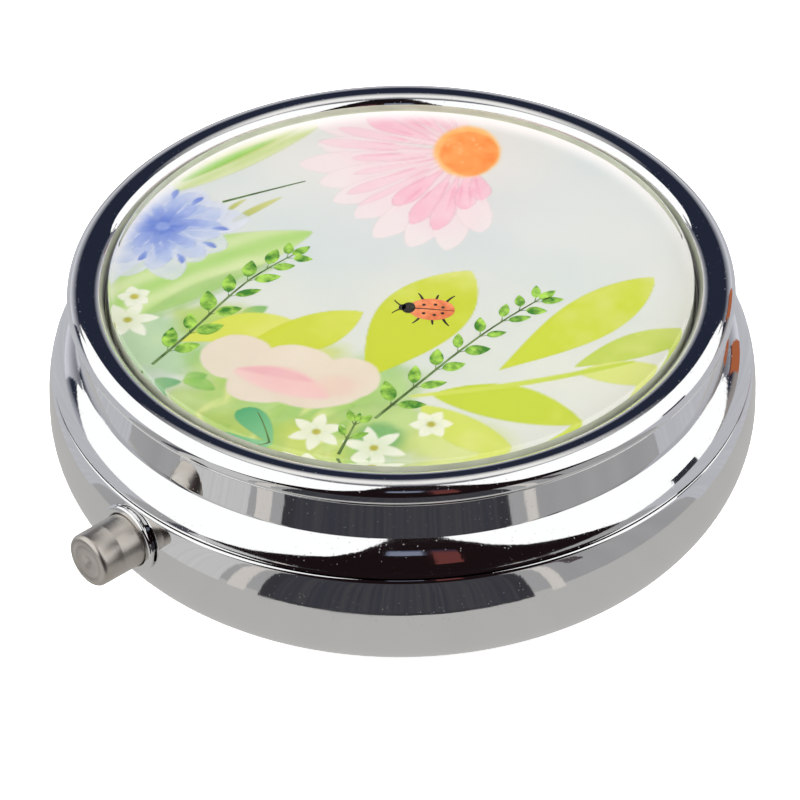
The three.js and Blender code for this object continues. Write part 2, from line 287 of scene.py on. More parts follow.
studio = {
    "turn": 49.0,             # degrees from the button's direction round to the camera
    "tilt": 38.85,
    "distance": 450.0,
    "roll": 0.8,
    "lens": 285.7,
    "sensor": 36.0,
    "aimHeight": 6.1,
    "aimRight": -0.19,
    "aimUp": -0.60,
    "floorColour": "#F7F7F7",
    "floorGlow": 0.62,
    "fill": 0.42,             # the even light all round that reflections don't see
}


def addCamera(s):
    turn, tilt, roll = (math.radians(s[k]) for k in ("turn", "tilt", "roll"))
    back = Vector((math.sin(turn) * math.cos(tilt), -math.cos(turn) * math.cos(tilt), math.sin(tilt)))
    right = Vector((math.cos(turn), math.sin(turn), 0))
    up = back.cross(right)
    target = Vector((0, 0, s["aimHeight"])) + right * s["aimRight"] + up * s["aimUp"]
    rolledRight = right * math.cos(roll) - up * math.sin(roll)
    rolledUp = up * math.cos(roll) + right * math.sin(roll)
    data = bpy.data.cameras.new("camera")
    data.lens = s["lens"]
    data.sensor_width = s["sensor"]
    data.clip_start = 0.01
    camera = bpy.data.objects.new("camera", data)
    bpy.context.scene.collection.objects.link(camera)
    turned = Matrix((rolledRight, rolledUp, back)).transposed().to_4x4()
    camera.matrix_world = Matrix.Translation((target + back * s["distance"]) * mm) @ turned
    bpy.context.scene.camera = camera


addCamera(studio)
bpy.context.scene.view_settings.view_transform = "Standard"


# a direction from the camera's side: 0 degrees points at the camera, positive is to its right
def studioPoint(degrees, elevation, distance):
    turn = math.radians(studio["turn"] + degrees)
    rise = math.radians(elevation)
    flat = Vector((math.sin(turn), -math.cos(turn), 0)) * math.cos(rise)
    return (flat + Vector((0, 0, math.sin(rise)))) * distance


# Lamps that light paper, plastic and card; the polished metal mirrors the tents and cards below instead.
# Each has its direction, elevation, distance, size and power.
lamps = {
    "leftLamp": (-60, 42, 420, 300, 2.0),
    "rightLamp": (65, 42, 420, 300, 1.7),
    "topLamp": (170, 72, 480, 260, 1.25),
}
lampAim = Vector((0, 0, 8))


def addLamp(name, degrees, elevation, distance, size, power):
    data = bpy.data.lights.new(name, "AREA")
    data.size = size * mm
    data.energy = power
    light = bpy.data.objects.new(name, data)
    spot = studioPoint(degrees, elevation, distance)
    light.location = spot * mm
    light.rotation_euler = (spot - lampAim).to_track_quat("Z", "Y").to_euler()
    light.visible_glossy = False
    light.visible_transmission = False
    bpy.context.scene.collection.objects.link(light)


for lampName, lampSettings in lamps.items():
    addLamp(lampName, *lampSettings)


# What the polished metal mirrors, as sheets of light round the object that only reflections see.
# Each tent has the elevations of its lower and upper edge at each direction, how softly its upper and
# lower edge fade, its colour, its strength and its distance.
dusk = "#262B3C"          # the dark room behind them
tents = {
    "leftTent": (
        [(-142, 40), (-133, 25), (-105, -3), (-60, 0), (-45, 7), (-22, 28), (-15, 45), (-11, 74)],
        [(-142, 44), (-125, 62), (-90, 76), (-11, 79)],
        4, 0, "#FBFCFC", 1.25, 400),
    "rightTent": (
        [(24, 74), (29, 45), (37, 27), (50, 14), (66, 0), (90, -5), (112, 3), (133, 28), (142, 40)],
        [(24, 79), (90, 76), (125, 62), (142, 44)],
        4, 0, "#FBFCFC", 1.25, 400),
    "frontDark": ([(-72, -8), (78, -8)], [(-72, 80), (78, 80)], 3, 0, "#1B1214", 1.0, 430),
    "backWall": ([(128, -30), (232, -30)], [(128, 29), (180, 25), (232, 29)], 24, 0, "#D3D4DC", 1.1, 400),
    "leftWing": ([(-132, -30), (-106, -30)], [(-132, 8), (-106, 12)], 8, 0, "#A9ABB4", 1.0, 405),
    "rightWing": ([(104, -30), (128, -30)], [(104, 12), (128, 12)], 6, 0, "#98928F", 1.0, 405),
    "ceiling": (
        [(-180, 60), (-150, 51), (-120, 51), (-90, 74), (0, 79), (90, 74), (120, 51), (150, 51),
         (180, 60)],
        [(-180, 90), (180, 90)],
        0.1, 19, "#F2F1EF", 1.1, 412),
    "lampSpot": ([(-6, 38), (6, 38)], [(-6, 50), (6, 50)], 4, 0, "#7F869A", 1.0, 396),
    "redStand": ([(9, 18), (17, 18)], [(9, 50), (17, 46)], 8, 0, "#6B3A38", 1.0, 396),
    "darkDoor": ([(85, -5), (96, -5)], [(85, 9), (96, 9)], 4, 0, "#33333A", 1.0, 396),
    "copperStand": ([(127, -6), (136, -6)], [(127, 18), (136, 18)], 3, 0, "#A8603F", 1.1, 396),
}


def glowMaterial(name, colour, strength):
    material = bpy.data.materials.new(name)
    material.use_nodes = True
    tree = material.node_tree
    tree.nodes.clear()
    share = addNode(tree, "ShaderNodeAttribute", {"attribute_name": "glow"})
    tone = toned(tree, share.outputs["Fac"], dusk, colour)
    glow = addNode(tree, "ShaderNodeEmission", values={"Strength": strength}, feeds={"Color": tone})
    addNode(tree, "ShaderNodeOutputMaterial", feeds={"Surface": glow.outputs[0]})
    return material


# a sheet from columns of points, with a share of its full light at each point
def addGlowSheet(name, columns, shares, colour, strength):
    rows = len(columns[0])
    points = [point * mm for column in columns for point in column]
    faces = [(c * rows + r, (c + 1) * rows + r, (c + 1) * rows + r + 1, c * rows + r + 1)
             for c in range(len(columns) - 1) for r in range(rows - 1)]
    mesh = bpy.data.meshes.new(name)
    mesh.from_pydata(points, [], faces)
    glow = mesh.attributes.new("glow", "FLOAT", "POINT")
    glow.data.foreach_set("value", np.array(shares, dtype=np.float32).ravel())
    sheet = bpy.data.objects.new(name, mesh)
    bpy.context.scene.collection.objects.link(sheet)
    mesh.materials.append(glowMaterial(name + " glow", colour, strength))
    sheet.visible_camera = False
    sheet.visible_shadow = False
    sheet.visible_diffuse = False
    sheet.visible_transmission = False


def addTent(name, lowEdge, highEdge, fade, fadeBelow, colour, strength, distance):
    columns, shares = [], []
    for turn in np.linspace(lowEdge[0][0], lowEdge[-1][0], 64):
        low = float(np.interp(turn, *zip(*lowEdge)))
        high = float(np.interp(turn, *zip(*highEdge)))
        rises = [low + (high - low) * r / 16 for r in range(17)]
        columns.append([studioPoint(turn, rise, distance) for rise in rises])
        foot = [(rise - low) / fadeBelow if fadeBelow else 1.0 for rise in rises]
        shares.append([max(0.0, min(1.0, (high - rise) / fade, f)) for rise, f in zip(rises, foot)])
    addGlowSheet(name, columns, shares, colour, strength)


for tentName, tentSettings in tents.items():
    addTent(tentName, *tentSettings)

# The table as the metal mirrors it: pale under the case, darker further out. Each card has its inner and
# outer radius, its first and last direction, its height, its share of streaks, its colour and its strength.
tableCards = {
    "paleTable": (0.01, 34, -180, 180, 0.02, 0.03, "#B7B6B4", 1.08),
    "greyTable": (34, 400, -180, 180, 0.02, 0.14, "#A4A4A5", 1.1),
    "darkTable": (33, 400, -30, 26, 0.06, 0.0, "#3A3A3F", 1.0),
    "darkStreaks": (33.5, 400, -27, 23, 0.07, 0.5, "#48474A", 1.0),
    "leftStrip": (33, 400, -37, -33, 0.08, 0.1, "#D2CDC8", 1.1),
    "rightStrip": (33, 400, 30, 33, 0.08, 0.1, "#D2CDC8", 1.1),
    "rightStand": (45, 400, 37, 41, 0.08, 0.5, "#5C5354", 1.0),
    "rightPale": (33, 400, 70, 150, 0.07, 0.12, "#BFC0C6", 1.1),
    "leftPale": (33, 400, -150, -78, 0.07, 0.12, "#BFC1C6", 1.1),
    "leftLight": (33, 400, -60, -39, 0.07, 0.1, "#C9C9C9", 1.08),
    "leftShade": (40, 400, -66, -60, 0.08, 0.5, "#55555C", 1.0),
}
streakDraws = np.random.default_rng(4)


def addTableCard(name, inner, outer, first, last, height, streak, colour, strength):
    columns, shares = [], []
    for degrees in np.linspace(first, last, 91):
        share = 1 - streak * streakDraws.random()
        turn = math.radians(studio["turn"] + degrees)
        columns.append([Vector((r * math.sin(turn), -r * math.cos(turn), height)) for r in (inner, outer)])
        shares.append([share, share])
    addGlowSheet(name, columns, shares, colour, strength)


for cardName, cardSettings in tableCards.items():
    addTableCard(cardName, *cardSettings)


def addWorld():
    world = bpy.data.worlds.new("studio")
    bpy.context.scene.world = world
    world.use_nodes = True
    tree = world.node_tree
    tree.nodes.clear()
    path = addNode(tree, "ShaderNodeLightPath")
    dark = addNode(tree, "ShaderNodeBackground", values={"Color": rgba(dusk), "Strength": 1.0})
    white = rgba("#FFFFFF")
    fill = addNode(tree, "ShaderNodeBackground", values={"Color": white, "Strength": studio["fill"]})
    choice = addNode(tree, "ShaderNodeMixShader", feeds={0: path.outputs["Is Glossy Ray"],
                                                         1: fill.outputs[0], 2: dark.outputs[0]})
    addNode(tree, "ShaderNodeOutputWorld", feeds={"Surface": choice.outputs[0]})


addWorld()


def addFloor():
    clearSelection()
    bpy.ops.mesh.primitive_plane_add(size=3, location=(0, 0, 0))
    floor = bpy.context.object
    floor.name = "floor"
    material = newMaterial("white paper sweep", {
        "Roughness": 0.9, "Base Color": rgba(studio["floorColour"]), "Emission Color": rgba("#FFFFFF"),
        "Emission Strength": studio["floorGlow"]})[0]
    floor.data.materials.append(material)
    floor.visible_glossy = False


addFloor()
print("studio ready")

# Chromium plating on pressed brass: a neutral mirror, with hairline wiping marks, faint pressing
# waves and the fine pits and dust that sparkle where it mirrors something dark
chromeLook = {
    "colour": "#EAEAEA",
    "roughness": 0.04,
    "scratch": 0.35,        # millimetres between hairlines
    "wave": 6.0,            # millimetres between pressing waves
    "pit": 0.32,            # millimetres between pits
    "pitDepth": 0.013,
}


def addChrome(name, s):
    material, tree, body = newMaterial(name, {"Metallic": 1.0, "Base Color": rgba(s["colour"])})
    smudge = noise(tree, s["wave"], 4.0)
    hairlines = bumped(tree, noise(tree, s["scratch"], 2.0, (1, 1, 0.12)), 0.035, 0.05)
    waves = bumped(tree, smudge, 0.06, 0.2, hairlines)
    pits = ranged(tree, cells(tree, s["pit"]), 0.03, 0.12)
    polish = ranged(tree, smudge, 0.35, 0.75, s["roughness"] * 0.6, s["roughness"] * 2.4)
    feed(tree, body, {"Roughness": polish, "Normal": bumped(tree, pits, 0.4, s["pitDepth"], waves)})
    return material


chrome = addChrome("chromium plating on pressed brass", chromeLook)

# Turned free-cutting steel, unplated: duller and browner, with lathe rings
turnedLook = {"colour": "#DCD7D0", "dark": "#B0A89F", "roughness": 0.33, "ring": 0.16, "stain": 1.6}


def addTurnedSteel(s):
    material, tree, body = newMaterial("turned steel, oiled",
                                       {"Metallic": 1.0, "Roughness": s["roughness"]})
    rings = noise(tree, s["ring"], 3.0, (0.15, 1, 0.15))
    feed(tree, body, {"Base Color": toned(tree, noise(tree, s["stain"], 5.0), s["dark"], s["colour"]),
                      "Normal": bumped(tree, rings, 0.25, 0.02)})
    return material


turnedSteel = addTurnedSteel(turnedLook)
print("materials ready")

baseHigh = corners("base_shell")[1]
lidLow, lidHigh = corners("lid_shell")
caseShape = {
    "bellyDepth": 5.0,
    "widestHeight": 6.1,
    "skirtRise": 2.95,
    "power": 2.9,
    "sheet": 0.6,
    "neckInset": 2.0,
    "beadInset": 0.9,
    "beadHalfWidth": 1.3,
    "beadHalfHeight": 1.05,
    "recessDepth": 1.85,
    "recessCorner": 0.25,
    "creaseWidth": 0.16,      # turn from the shoulder up into the neck
    "seamClose": 0.09,        # how far each shell's pressed edge reaches into the seam
    "lip": 0.05,              # rounding of those edges
    "steps": 256,
}
caseRadius = baseHigh.x
coreRadius = caseRadius - caseShape["bellyDepth"]


def shoulderRadius(z, inset):
    s = caseShape
    rise = baseHigh.z + s["skirtRise"] - s["widestHeight"] - inset
    climb = (z - s["widestHeight"]) / rise
    return coreRadius + (s["bellyDepth"] - inset) * (1 - climb ** s["power"]) ** (1 / s["power"])


def shoulderHeight(radius, inset):
    s = caseShape
    share = (radius - coreRadius) / (s["bellyDepth"] - inset)
    rise = baseHigh.z + s["skirtRise"] - s["widestHeight"] - inset
    return s["widestHeight"] + rise * (1 - share ** s["power"]) ** (1 / s["power"])


def shoulder(low, high, inset, steps):
    heights = [low + (high - low) * i / steps for i in range(steps + 1)]
    return [(shoulderRadius(z, inset), z) for z in heights]


def makeBaseCase(s):
    top = baseHigh.z + s["seamClose"]
    sheet = s["sheet"]
    lip = s["lip"]
    outside = [(0, 0), (coreRadius * 0.5, 0)]
    outside += arc(coreRadius, s["widestHeight"], s["bellyDepth"], s["widestHeight"], -90, 0, 28)
    outside += shoulder(s["widestHeight"], top, 0, 12)[1:]
    inside = [(0, sheet), (coreRadius * 0.5, sheet)]
    inside += arc(coreRadius, s["widestHeight"], s["bellyDepth"] - sheet, s["widestHeight"] - sheet,
                  -90, 0, 14)
    inside += shoulder(s["widestHeight"], top, sheet, 8)[1:]
    edge = [(outside[-1][0] - lip, top), (inside[-1][0] + lip, top)]
    outside[-1] = (outside[-1][0], top - lip)
    inside[-1] = (inside[-1][0], top - lip)
    return spinOutline("baseCase", outside + edge + inside[::-1], s["steps"])


baseCase = makeBaseCase(caseShape)


def makeLidCase(s):
    sheet = s["sheet"]
    edge = lidLow.z - s["seamClose"]
    lip = s["lip"]
    neck = caseRadius - s["neckInset"]
    neckInside = neck - sheet
    mid = neck - s["beadInset"]
    beadTop = lidHigh.z
    beadZ = beadTop - s["beadHalfHeight"]
    floor = beadTop - s["recessDepth"]
    wall = mid - s["beadHalfWidth"]
    crease = shoulderHeight(neck, 0)
    wrap = math.degrees(math.acos((neck - mid) / s["beadHalfWidth"]))
    innerWrap = math.degrees(math.acos((neckInside - mid) / (s["beadHalfWidth"] - sheet)))
    outside = shoulder(edge, crease, 0, 18)
    outside[0] = (outside[0][0], edge + lip)
    outside.insert(0, (outside[0][0] - lip, edge))
    foot = [(neck, crease + s["creaseWidth"])]
    bead = arc(mid, beadZ, s["beadHalfWidth"], s["beadHalfHeight"], -wrap, 180, 30)
    recess = rounded([(wall, beadZ), (wall, floor), (0, floor)], {1: s["recessCorner"]})[1:]
    under = [(0, floor - sheet), (wall + sheet, floor - sheet)]
    hollow = arc(mid, beadZ, s["beadHalfWidth"] - sheet, s["beadHalfHeight"] - sheet, 180, -innerWrap, 14)
    inside = shoulder(edge, shoulderHeight(neckInside, sheet), sheet, 10)[::-1]
    inside[-1] = (inside[-1][0], edge + lip)
    inside.append((inside[-1][0] + lip, edge))
    outline = outside + foot + bead + recess + under + hollow + inside
    return spinOutline("lidCase", outline + [outline[0]], s["steps"])


lidCase = makeLidCase(caseShape)

leafLow, leafHigh = corners("hinge_base_leaf")
notchGap = 0.25           # round the hinge leaves where they pass the shells
holeSeat = 0.2            # how far the collar covers the edge of its hole
notchHalf = leafHigh.x + notchGap
boolean(baseCase, addBlock("notch", (-notchHalf, coreRadius, leafLow.z - notchGap),
                           (notchHalf, caseRadius + 1, lidHigh.z)))
boolean(lidCase, addBlock("notch", (-notchHalf, coreRadius, 0),
                          (notchHalf, caseRadius + 1, leafHigh.z + notchGap)))
bushLow, bushHigh = corners("button_bush")
buttonLow, buttonHigh = corners("button")
buttonZ = (bushLow.z + bushHigh.z) / 2
bushRadius = bushHigh.x
boolean(baseCase, addRod("hole", bushRadius - holeSeat, (0, -caseRadius - 1, buttonZ),
                         (0, -coreRadius, buttonZ), 64))
for shell in (baseCase, lidCase):
    smooth(shell)
place(baseCase, chrome, "base", "chrome_case", "base_shell")
place(lidCase, chrome, "lid", "chrome_case", "lid_shell")
print("case ready")

buttonLook = {
    "radius": 1.95,
    "stem": 0.9,
    "flange": 0.4,            # thickness of the flange that keeps it in the collar
    "flangeBevel": 0.08,
    "chamfer": 0.32,
    "groove": 1.85,           # from the face back to the fine turned groove
    "dimple": 0.5,            # the centre drill's mark
    "dimpleDepth": 0.16,
    "steps": 96,
}
buttonFace = -buttonLow.y
flangeRadius = buttonHigh.x


def makeButton(s):
    tip = -buttonHigh.y
    front = -bushHigh.y - 0.15
    back = front - s["flange"]
    radius, stem, dimple = s["radius"], s["stem"], s["dimple"]
    bevel, chamfer = s["flangeBevel"], s["chamfer"]
    outline = [
        (0, tip), (stem - 0.1, tip), (stem, tip + 0.1), (stem, back), (flangeRadius - bevel, back),
        (flangeRadius, back + bevel), (flangeRadius, front - bevel), (flangeRadius - bevel, front),
        (radius, front),
    ]
    grooves = [(radius, -s["groove"] - 0.05), (radius - 0.012, -s["groove"]), (radius, -s["groove"] + 0.05),
               (radius, -chamfer - 0.12)]
    corner = arc(radius - chamfer, -chamfer * 1.25, chamfer, chamfer * 1.25, 0, 80, 7)
    rim = radius - chamfer - 0.05
    turned = [(rim, 0), (rim - 0.22, -0.015), (rim - 0.3, -0.06), (1.15, -0.05), (1.05, -0.035),
              (0.95, -0.05), (dimple + 0.1, -0.045), (dimple, -0.06),
              (dimple * 0.6, -s["dimpleDepth"]), (0, -s["dimpleDepth"] * 1.5)]
    outline += [(r, buttonFace + depth) for r, depth in grooves + corner + turned]
    return spinOutline("pushButton", outline, s["steps"], acrossY=buttonZ)


pushButton = makeButton(buttonLook)
smooth(pushButton, 50)
place(pushButton, turnedSteel, "button", "button_steel", "button")

bushLook = {"bore": 2.01, "barrel": 2.31, "roundLip": 0.2, "steps": 96}


def makeBush(s):
    outer, inner, back = -bushLow.y, -bushHigh.y, caseRadius + 0.03
    bore, barrel, lip = s["bore"], s["barrel"], s["roundLip"]
    outline = [(bore, inner), (barrel - 0.05, inner), (barrel, inner + 0.05), (barrel, back),
               (bushRadius, back), (bushRadius, back + 0.06)]
    outline += arc(bushRadius - lip, outer - lip, lip, lip, 0, 90, 6)
    outline += [(bore + 0.06, outer), (bore, outer - 0.06), (bore, inner)]
    return spinOutline("buttonCollar", outline, s["steps"], acrossY=buttonZ)


buttonCollar = makeBush(bushLook)
smooth(buttonCollar)
place(buttonCollar, chrome, "base", "bush_chrome", "button_bush")
print("button ready")

domeLow, domeHigh = corners("dome_lens")
domeLook = {"edge": 1.42, "roundEdge": 0.3, "steps": 192}

# Cast clear epoxy dome: glassy, faintly green at its edge
resin = newMaterial("cast clear epoxy resin", {"Roughness": 0.02, "IOR": 1.5, "Transmission Weight": 1.0,
                                               "Base Color": rgba("#FBFDFC")})[0]


def makeDome(s):
    radius = domeHigh.x
    low, top = domeLow.z, domeHigh.z
    edge = low + s["edge"]
    rise = top - edge
    ball = (radius ** 2 + rise ** 2) / (2 * rise)
    lean = math.degrees(math.asin(radius / ball))
    crown = arc(0, top - ball, ball, ball, 90 - lean, 90, 30)
    outline = [(0, low), (radius * 0.5, low), (radius - 0.3, low), (radius - 0.1, low), (radius, low + 0.1)]
    corner = len(outline)
    outline = rounded(outline + [crown[0]] + crown[3:], {corner: s["roundEdge"]}, 8)
    return spinOutline("clearDome", outline, s["steps"])


clearDome = makeDome(domeLook)
smooth(clearDome, 30)
place(clearDome, resin, "lid", "clear_resin", "dome_lens")
clearDome.visible_shadow = False

# The dome's side, where the resin crept and cured on the paper: clouded and olive grey
resinEdge, edgeTree, edgeBody = newMaterial("clouded resin edge", {"Roughness": 0.3})
feed(edgeTree, edgeBody, {"Base Color": toned(edgeTree, noise(edgeTree, 2.5, 3.0), "#8E927F", "#C5C9B6")})
clearDome.data.materials.append(resinEdge)
sideTop = (domeLow.z + domeLook["edge"] - domeLook["roundEdge"]) * mm
for face in clearDome.data.polygons:
    if math.hypot(face.center.x, face.center.y) > (domeHigh.x - 0.2) * mm and face.center.z < sideTop:
        face.material_index = 1
print("dome ready")

# The picture under the dome: a loose watercolour meadow, upright as seen from the camera's side.
# Its drawing is laid out in millimetres: "across" to the right and "away" to the far edge.
discLow = corners("picture_disc")[0]
pictureLook = {
    "radius": domeHigh.x - 0.12,
    "top": domeLow.z + 0.02,  # the resin is cast onto the paper, so its face lies just inside the resin
    "cells": 296,
    "paper": ("#E6E9E3", "#D6E1E1"),
    "resinTint": "#E6E1E2",   # the resin's own faint warmth over the whole print
}


def addPrintSheet(s):
    clearSelection()
    bpy.ops.mesh.primitive_grid_add(x_subdivisions=s["cells"], y_subdivisions=s["cells"], size=2,
                                    location=(0, 0, 0))
    obj = named("printedPicture")
    flat = np.zeros(len(obj.data.vertices) * 3)
    obj.data.vertices.foreach_get("co", flat)
    square = flat.reshape(-1, 3)
    across = square[:, 0] * np.sqrt(1 - square[:, 1] ** 2 / 2) * s["radius"]
    away = square[:, 1] * np.sqrt(1 - square[:, 0] ** 2 / 2) * s["radius"]
    turn = math.radians(studio["turn"])
    placed = np.stack([across * math.cos(turn) - away * math.sin(turn),
                       across * math.sin(turn) + away * math.cos(turn),
                       np.full(len(across), s["top"])], axis=1) * mm
    obj.data.vertices.foreach_set("co", placed.ravel())
    obj.data.update()
    return obj, across, away


printSheet, across, away = addPrintSheet(pictureLook)
canvas = np.zeros((len(across), 3))


# soft random patches from 0 to 1, about so many millimetres across
def cloud(seed, size):
    lattice = np.random.default_rng(seed).random((90, 90))
    total = np.zeros(len(across))
    for octave, share in ((1, 0.55), (2, 0.3), (4, 0.15)):
        u = (across + 22) / size * octave % 88
        v = (away + 22) / size * octave % 88
        i, j = u.astype(int), v.astype(int)
        fu, fv = u - i, v - j
        fu, fv = fu * fu * (3 - 2 * fu), fv * fv * (3 - 2 * fv)
        near = lattice[i, j] * (1 - fu) + lattice[i + 1, j] * fu
        far = lattice[i, j + 1] * (1 - fu) + lattice[i + 1, j + 1] * fu
        total += share * (near * (1 - fv) + far * fv)
    return total


def softened(inside, width):
    t = np.clip(inside / width + 0.5, 0, 1)
    return t * t * (3 - 2 * t)


# a leaf or petal from one point to another, widest part way along, bowed to its left by "bend"
def petal(start, end, half, widest=0.5, bend=0.0, soft=0.2, blunt=0.75):
    stepX, stepY = end[0] - start[0], end[1] - start[1]
    length = math.hypot(stepX, stepY)
    along = ((across - start[0]) * stepX + (away - start[1]) * stepY) / length ** 2
    inRange = np.clip(along, 0, 1)
    side = ((away - start[1]) * stepX - (across - start[0]) * stepY) / length
    side = side - bend * np.sin(math.pi * inRange)
    swell = np.sin(math.pi * inRange ** (math.log(0.5) / math.log(widest))) ** blunt
    mask = softened(half * swell - np.abs(side), soft) * (along > 0) * (along < 1)
    return mask, inRange, side / half


def blot(middle, wide, tall, soft, ragged=0.0, seed=1):
    reach = np.hypot((across - middle[0]) / wide, (away - middle[1]) / tall)
    return softened((1 - reach + ragged * (cloud(seed, 1.6) - 0.5)) * min(wide, tall), soft)


# lays one wash over what is there: two tints mixed by "mix", with the pigment gathered at its edge
def wash(mask, light, deep, mix, depth=1.0, edge=0.06):
    global canvas
    tint = code(light) + (code(deep) - code(light)) * np.clip(mix, 0, 1)[:, None]
    rim = 4 * mask * (1 - mask)
    share = (mask * depth)[:, None]
    canvas = canvas * (1 - share) + tint * share * (1 - edge * rim[:, None])


def at(middle, degrees, reach):
    t = math.radians(degrees)
    return middle[0] + reach * math.cos(t), middle[1] + reach * math.sin(t)


def paintPaper():
    global canvas
    patches = np.clip(cloud(1, 9) * 1.6 - 0.3 - across / 60, 0, 1)
    paper, cool = (code(c) for c in pictureLook["paper"])
    canvas = paper + (cool - paper) * patches[:, None]


def paintMeadow():
    draws = np.random.default_rng(21)
    for i in range(16):
        middle = (draws.uniform(-17.5, -1), draws.uniform(-18, -8) - 0.1)
        tones = (("#CBE08A", "#9CCB5E"), ("#DDE68A", "#C6D94E"), ("#B9DC84", "#8FC468"))[i % 3]
        mask = blot(middle, draws.uniform(2.2, 4.2), draws.uniform(1.6, 3.2), 2.2, 0.8, 30 + i)
        wash(mask, *tones, cloud(50 + i, 2.2), 0.75)
    for i in range(9):
        start = (draws.uniform(-16, -3), draws.uniform(-19, -12))
        end = at(start, draws.uniform(10, 70), draws.uniform(3, 5.5))
        mask, along, _ = petal(start, end, 0.55, 0.5, 0.3, 0.5)
        wash(mask, "#E6EDA2", "#8CC25A", along + cloud(70 + i, 1.5) - 0.6, 0.7)
    for i in range(14):
        start = (draws.uniform(-18, -10), draws.uniform(-13, -3.5))
        end = at(start, draws.uniform(-30, 75), draws.uniform(1.8, 3.4))
        mask, along, _ = petal(start, end, 0.62, 0.5, 0.2, 0.25)
        tones = (("#A9D56E", "#6DB04E"), ("#CFE27A", "#9CC848"), ("#9AD08A", "#5CA66A"))[i % 3]
        wash(mask, *tones, along + cloud(270 + i, 1.1) - 0.5, 0.75)
    wash(blot((-16.6, -6.4), 3.0, 3.4, 1.8, 0.6, 5), "#A9D27E", "#7FBE74", cloud(6, 1.8), 0.45)
    wash(blot((-13.2, -4.0), 2.6, 2.0, 1.6, 0.6, 7), "#CFE06E", "#A3CC58", cloud(8, 1.8), 0.8)
    wash(blot((-1.6, -17.0), 1.7, 1.6, 1.2, 0.6, 9), "#8CC07A", "#4E9A62", cloud(10, 1.2), 0.8)
    wash(blot((3.4, -17.6), 3.4, 2.2, 2.2, 0.5, 11), "#E2EC9E", "#CFE070", cloud(12, 2.0), 0.8)


def paintBlades():
    blades = [
        ((-17.4, 10.9), (-4.4, 20.4), 1.7, "#E0EAB4", "#CBDF92"),
        ((-16.4, 12.4), (-5.6, 20.2), 1.15, "#D2E08C", "#B4D568"),
        ((-15.6, 12.2), (-8.8, 17.2), 0.42, "#A5D768", "#84CB56"),
        ((-15.9, 13.2), (-7.6, 19.4), 0.3, "#E2E293", "#CBCB62"),
        ((-13.4, 15.2), (-8.4, 19.2), 0.12, "#A9B45C", "#8C9A48"),
        ((-12.4, 15.6), (-9.8, 17.5), 0.1, "#9FB257", "#7F9C48"),
        ((-14.8, 13.6), (-10.4, 16.6), 0.2, "#DDE58E", "#C2D562"),
    ]
    budStalks = [((-11.9, 7.3), (-8.3, 10.2), 0.32), ((-12.2, 8.6), (-10.9, 10.0), 0.2)]
    for i, (start, end, half, light, deep) in enumerate(blades):
        mask, _, side = petal(start, end, half, 0.45, 0.2, 0.35)
        wash(mask, light, deep, cloud(80 + i, 1.4) + 0.3 * np.sin(side * 9), 0.85)
    for start, end, half in budStalks:
        mask, along, _ = petal(start, end, half, 0.4, 0.1, 0.2)
        wash(mask, "#D5D98C", "#B3BC57", 1 - along, 0.9)
    mask, _, side = petal((-20.8, -2.8), (-6.2, 6.0), 3.0, 0.4, 0.9, 0.35)
    streaks = 0.5 + 0.5 * np.sin(side * 7 + 3 * cloud(90, 5)) * (0.4 + 0.6 * cloud(91, 2.5))
    wash(mask, "#DCEBB0", "#ABD873", streaks, 0.95)
    mask = petal((-19.0, -4.6), (-8.0, 2.6), 0.9, 0.5, 0.6, 0.6)[0]
    wash(mask, "#BFD99A", "#93BE72", cloud(92, 1.2), 0.55)


def paintBlueFlower(middle=(-16.8, 7.0)):
    draws = np.random.default_rng(5)
    rings = [(12, 6.1, 1.45, "#E3E8F1", "#C3CFEA", 0.8), (10, 5.0, 1.05, "#D3DCEF", "#A4B7E6", 0.8),
             (9, 4.1, 0.8, "#CFDAF1", "#8AA1E0", 0.8), (8, 3.2, 0.62, "#B6C6EC", "#738CDA", 0.8),
             (6, 2.1, 0.5, "#A0B4E7", "#6480D5", 0.8)]
    for r, (count, reach, half, light, deep, depth) in enumerate(rings):
        for i in range(count):
            turn = 360 * i / count + 17 * r + draws.uniform(-10, 10)
            tip = at(middle, turn, reach * draws.uniform(0.82, 1.06))
            mask, along, side = petal(middle, tip, half, 0.64, draws.uniform(-0.35, 0.35), 0.16, 0.6)
            wash(mask, light, deep, 1.15 - along + 0.9 * (cloud(100 + 13 * r + i, 1.0) - 0.5), depth, 0.14)
            outline = softened(0.14 - np.abs(np.abs(side) - 0.88), 0.16) * (along > 0.35) * mask
            wash(outline, "#EFF2F7", "#DCE4F4", along, 0.55 if r < 4 else 0.2, 0)
    for i in range(9):
        turn = 40 * i + draws.uniform(-12, 12)
        reach = draws.uniform(2.6, 4.0)
        start, end = at(middle, turn, reach), at(middle, turn, reach + 1.3)
        mask, along, _ = petal(start, end, 0.24, 0.6, 0.1, 0.14)
        wash(mask, "#8EA5E2", "#5872D2", along, 0.8, 0)
    wash(blot(middle, 0.5, 0.5, 0.4), "#B9C9EE", "#8FA6E2", cloud(119, 0.4), 0.7, 0)


